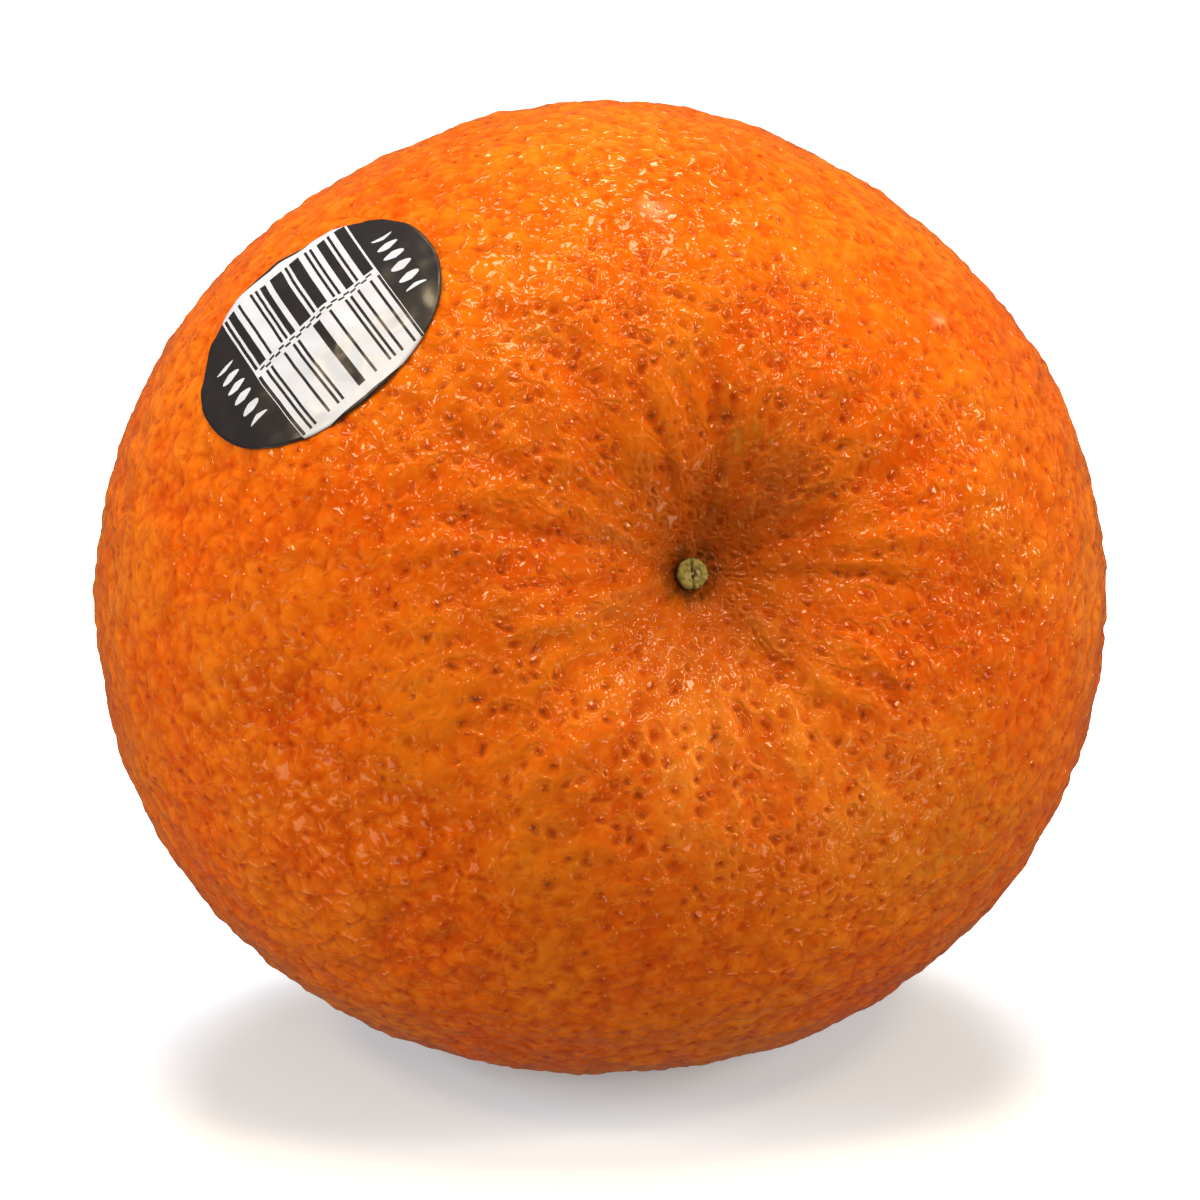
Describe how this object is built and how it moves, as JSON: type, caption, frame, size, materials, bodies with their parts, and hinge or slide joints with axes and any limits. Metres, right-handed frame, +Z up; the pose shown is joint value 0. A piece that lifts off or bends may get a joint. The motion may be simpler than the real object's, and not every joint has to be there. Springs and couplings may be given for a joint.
{
  "type": "mandarin",
  "caption": "Whole fresh mandarin lying on its side: squashed round fruit in pitted rind, stem-end hollow with a calyx button, and a plain oval fruit label.",
  "frame": {"origin": "middle of the fruit's box, at the level of the flat spot that it rests on", "axes": "+Z up; +X across the widest way; the stem end faces -Y, turned a little to +X and a little upwards"},
  "size_m": [0.0698, 0.0622, 0.0655],
  "materials": {
    "rind": "waxed orange citrus rind, pitted with oil glands, satin gloss",
    "calyx": "dry olive-brown plant scar, matte",
    "label": "coated label, glossy film over black and white print, plain bars and bare dark ends"
  },
  "bodies": {
    "root": {"fruit": "rind", "stem_button": "calyx", "sticker": "label"}
  },
  "joints": []
}
